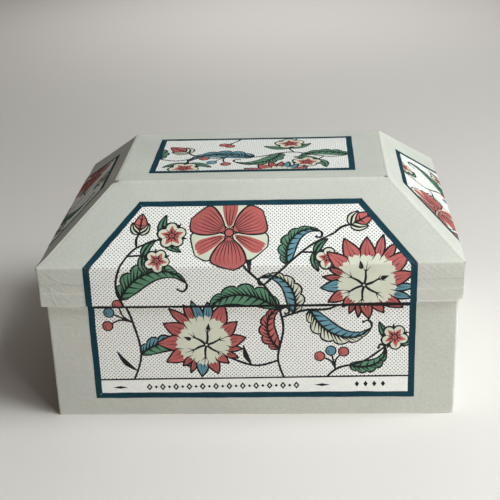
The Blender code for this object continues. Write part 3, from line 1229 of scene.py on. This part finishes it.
def front_sheet():
    """The print of the front and back: three large flowers on vines with leaves, sprigs and berries."""
    d = Drawing()
    d.vine([(-124, -132), (-113, -98), (-120, -58), (-132, -18), (-116, 18), (-92, 30)], [
        (0.10, 62, d.thorn, 30),
        (0.20, -50, d.feather, 68, ("blue", "green"), -12),
        (0.38, 50, d.berries, 26),
        (0.52, -52, d.feather, 84, ("green", "green"), -11),
        (0.76, -66, d.sprig, 30, 13),
        (0.84, 50, d.bud, 36),
        (1.0, 0, d.sprig, 16, 15),
    ])
    d.vine([(34, -132), (26, -104), (32, -66), (20, -28), (-6, 2), (-20, 30)], [
        (0.26, 50, d.feather, 60, ("red", "red"), -12),
        (0.50, 36, d.feather, 88, ("green", "green"), 11),
        (0.74, -48, d.thorn, 26),
    ])
    d.vine([(27, -106), (4, -112), (-20, -104), (-42, -90)], [(0.4, -60, d.thorn, 24)])
    d.vine([(30, -58), (54, -50), (80, -48), (106, -30)], [
        (0.2, 62, d.feather, 66, ("blue", "cream"), 12),
        (0.4, -64, d.feather, 78, ("blue", "cream"), 11),
    ])
    d.vine([(14, -20), (36, 0), (60, 22), (84, 36)], [
        (0.36, 52, d.feather, 62, ("green", "blue"), -12),
        (0.55, -58, d.sprig, 26, 12, 4),
        (1.0, 0, d.bud, 42),
    ])
    d.vine([(70, -132), (86, -116), (112, -108), (140, -86)], [
        (0.30, 66, d.berries, 22),
        (0.50, -24, d.feather, 50, ("green", "green"), 11),
        (1.0, 20, d.sprig, 6, 14),
    ])
    d.rosette((-20, 38), 42)
    d.fringed((-46, -88), 45, 13, 120)
    d.fringed((112, -22), 48, 15, 60)
    print_foot(d, 160)
    return d.shapes


def top_sheet():
    """The print of the top: one winding vine from edge to edge."""
    d = Drawing()
    d.vine([(124, 6), (84, -14), (40, 4), (0, -12), (-44, -2), (-84, -20), (-124, 4)], [
        (0.10, -60, d.feather, 66, ("green", "green"), 11),
        (0.20, 64, d.sprig, 26, 16),
        (0.32, -70, d.sprig, 32, 17),
        (0.38, 50, d.feather, 68, ("green", "green"), -11),
        (0.50, -34, d.feather, 84, ("blue", "blue"), 10),
        (0.60, 70, d.berries, 28),
        (0.72, -74, d.bud, 46),
        (0.78, 60, d.sprig, 28, 17),
        (0.90, -60, d.feather, 62, ("green", "green"), 11),
    ])
    d.vine([(-22, 62), (-18, 52), (-24, 42)], [(1.0, 0, d.berries, 14, ("red", "red"))])
    d.fringed((26, -70), 36, 13, 90)
    return d.shapes


def side_sheet():
    """The print of the left and right: a vine that climbs past two large flowers."""
    d = Drawing()
    d.vine([(-30, -132), (-52, -96), (-34, -58), (8, -34), (24, 2), (-6, 34), (-12, 74)], [
        (0.14, 62, d.sprig, 26, 14),
        (0.28, 50, d.feather, 78, ("green", "green"), -11),
        (0.40, -50, d.feather, 66, ("blue", "cream"), -11),
        (0.54, 56, d.berries, 28),
        (0.64, -60, d.feather, 72, ("green", "green"), 11),
        (0.80, 58, d.bud, 40),
        (0.88, -60, d.sprig, 26, 14),
    ])
    d.vine([(-50, -104), (-10, -114), (26, -106), (42, -92)], [(0.4, 60, d.thorn, 22)])
    d.vine([(112, -34), (90, -28), (76, -8)], [(0.5, 50, d.thorn, 20), (1.0, 0, d.sprig, 12, 14)])
    d.vine([(-110, -84), (-94, -62), (-94, -34)], [(0.5, 40, d.thorn, 20), (1.0, 0, d.bud, 38)])
    d.fringed((46, -88), 44, 13, 60)
    d.rosette((-60, 24), 36, 6, 70)
    print_foot(d, 106)
    return d.shapes


# ---------------------------------------------------------------------------------------------------
# Labels


def label_shape(side):
    """Half widths at the eave and at the top, and the length up the slope, of a lid label's border."""
    node = f"lid_{side}_label_border"
    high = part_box(node)[1]
    i = 1 - across(side)
    top = [v.co[i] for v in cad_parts[node].data.vertices if v.co.z > high.z - 0.4 * MM]
    return high[i], max(top), (high.z - EAVE) / math.sin(slope_angle(side))


def label_outline(side, inset, low):
    """Upright below the eave and tapering above it, inset all round but at its foot."""
    eave_half, top_half, rise = label_shape(side)
    taper = (eave_half - top_half) / rise
    slanted = math.hypot(1, taper) * inset
    bend = -inset * (math.hypot(1, taper) - 1) / taper
    shoulder = eave_half - taper * (rise - inset) - slanted
    right_edge = [(eave_half - inset, low), (eave_half - inset, bend), (shoulder, rise - inset)]
    return right_edge + [(-u, v) for u, v in reversed(right_edge)]


def inked(shapes, outline):
    """The drawn shapes that reach into a flat outline, in metres."""
    kept = []
    for ink, points in shapes:
        flat = [Vector(p) * MM for p in points]
        spans = [(max(p[i] for p in flat), min(p[i] for p in flat)) for i in (0, 1)]
        limits = [(min(p[i] for p in outline), max(p[i] for p in outline)) for i in (0, 1)]
        if all(top >= low and bottom <= high for (top, bottom), (low, high) in zip(spans, limits)):
            kept.append((ink, flat))
    return kept


def mitres(outline, inner):
    """The joints of a border's strips, from each corner to the one inside it, and a nick at the last."""
    joints = []
    for a, b in zip(outline, inner):
        a = Vector(a)
        b = Vector(b)
        aside = (b - a).orthogonal().normalized() * 0.22 * MM
        joints.append(("joint", [a + aside, b + aside, b - aside, a - aside]))
    tip = Vector(inner[-2])
    out = Vector(outline[-2]) - tip
    joints.append(("covering", [tip, tip + out * 0.45 + out.orthogonal() * 0.07, tip + out * 0.3]))
    return joints


def rectangle(half, low, high):
    return [(half, low), (half, high), (-half, high), (-half, low)]


def label(name, node, face, level, border, inner, corners, seeds, shapes, creases=()):
    """A border sheet, mitred at these of its corners, and on it the print, its outline inside the border."""
    joints = mitres([border[i] for i in corners], [inner[i] for i in corners])
    cut = uneven(border, 0.2 * MM, seeds[0])
    colours = [("teal", cut)] + joints
    sheet(f"{name}_border", f"{node}_border", "border", face, cut, level, colours, creases)
    cut = uneven(inner, 0.3 * MM, seeds[1])
    sheet(f"{name}_print", f"{node}_print", "print", face, cut, level + 1, inked(shapes, cut), creases)


def make_labels():
    prints = (side_sheet(), front_sheet())
    eave = [((-0.2, 0), (0.2, 0))]
    rim = RIM_BOTTOM + 0.5 * MM - EAVE
    for side in SIDES:
        i = across(side)
        border = label_outline(side, 0, rim)
        inner = label_outline(side, BORDER, rim)
        label(f"{side}_lid", f"lid_{side}_label", slope_face(side), 2 + i,
              border, inner, (1, 2, 3, 4), (0, 3), prints[i], eave)
        low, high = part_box(f"base_{side}_label_border")
        half = label_shape(side)[0]
        foot = low.z - EAVE
        head = high.z - EAVE
        border = rectangle(half, foot, head)
        inner = rectangle(half - BORDER, foot + BORDER, head)
        label(f"{side}_tray", f"base_{side}_label", wall_face(side), 1,
              border, inner, (3, 0), (5, 6), prints[i])
    x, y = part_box("lid_top_label_border")[1][:2]
    border = rectangle(x, -y, y)
    inner = rectangle(x - BORDER, BORDER - y, y - BORDER)
    label("top", "lid_top_label", top_face(), 4, border, inner, (0, 1, 2, 3), (7, 8), top_sheet())


# ---------------------------------------------------------------------------------------------------
# Stage


def make_stage():
    bm = bmesh.new()
    bmesh.ops.create_grid(bm, x_segments=1, y_segments=1, size=20)
    floor = add_mesh("floor", bm, [])
    n = Nodes("floor", 0.9)
    n.shader.inputs["Base Color"].default_value = (0.80, 0.77, 0.735, 1)
    floor.data.materials.append(n.material)

    world = bpy.data.worlds.new("studio")
    bpy.context.scene.world = world
    world.use_nodes = True
    background = world.node_tree.nodes["Background"]
    background.inputs["Color"].default_value = (1.0, 0.75, 0.5, 1)
    background.inputs["Strength"].default_value = 0.045
    area_light("key", (1.3, -0.45, 1.7), 1.2, 44, (0.95, 1.0, 1.0))
    area_light("fill", (0.9, -1.3, 0.42), 0.55, 2.13, (1, 0.98, 1), spread=90)
    area_light("back", (0.3, 1.2, 1.9), 1.4, 5.5, (1, 1, 1))
    floor_light("far_floor", (0, 2.2, 1.8), 75, 84)
    for degrees in (0, 180, 225, 270, 315):
        floor_light(f"floor_{degrees}", (*polar((0, 0), 3.8, degrees), 3), 150, 100)
    bpy.context.scene.view_settings.view_transform = "Standard"


def add_light(name, kind, place, watts):
    data = bpy.data.lights.new(name, kind)
    data.energy = watts
    light = bpy.data.objects.new(name, data)
    light.location = place
    bpy.context.scene.collection.objects.link(light)
    return light


def area_light(name, place, size, watts, colour, spread=180):
    """A soft light that faces the box."""
    light = add_light(name, "AREA", place, watts)
    light.rotation_euler = (Vector((0, 0, 0.1)) - Vector(place)).to_track_quat("-Z", "Y").to_euler()
    light.data.size = size
    light.data.spread = math.radians(spread)
    light.data.color = colour


def floor_light(name, place, watts, cone):
    """A lamp that points straight down, beyond the box, so that the floor stays pale in every view."""
    data = add_light(name, "SPOT", place, watts).data
    data.spot_size = math.radians(cone)
    data.spot_blend = 1
    data.shadow_soft_size = 0.5


def make_camera():
    data = bpy.data.cameras.new("camera")
    data.lens = 78.13
    camera = bpy.data.objects.new("camera", data)
    turn = Matrix.Rotation(math.radians(3.69), 3, "Z")
    tilt = Matrix.Rotation(math.radians(90 - 22.99), 3, "X")
    roll = Matrix.Rotation(math.radians(-2.18), 3, "Z")
    camera.matrix_world = Matrix.Translation((0.0642, -1.125, 0.5967)) @ (turn @ tilt @ roll).to_4x4()
    bpy.context.scene.collection.objects.link(camera)
    bpy.context.scene.camera = camera


def make_core():
    """The boards and linings: the frame's shapes, with the box's soft edges and as far out of true."""
    for name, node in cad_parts.items():
        is_board = name.endswith("_board")
        is_lining = "lining" in name or name == "base_bottom_paper"
        if name == "base_wall_lining" or not (is_board or is_lining):
            continue
        body = body_of(name)
        bm = bmesh.new()
        bm.from_mesh(node.data)
        for axis in range(3):
            reach = [v.co[axis] / CORE_PITCH for v in bm.verts]
            way = Vector(int(k == axis) for k in range(3))
            for i in range(math.ceil(min(reach)), math.ceil(max(reach))):
                everything = bm.verts[:] + bm.edges[:] + bm.faces[:]
                bmesh.ops.bisect_plane(bm, geom=everything, plane_co=way * i * CORE_PITCH, plane_no=way)
        for v in bm.verts:
            v.co = ripple(SKINS[body].hold(v.co, BOARD_DEPTH) if is_board else v.co.copy(), body)
        name_of_piece = name.replace("base_", "tray_").replace("lid_", "")
        piece = add_mesh(name_of_piece, bm, ["board" if is_board else "lining"])
        finish_piece(piece, name)


make_camera()
make_stage()
make_core()
make_wraps()
make_slope_papers()
make_top_paper()
make_labels()
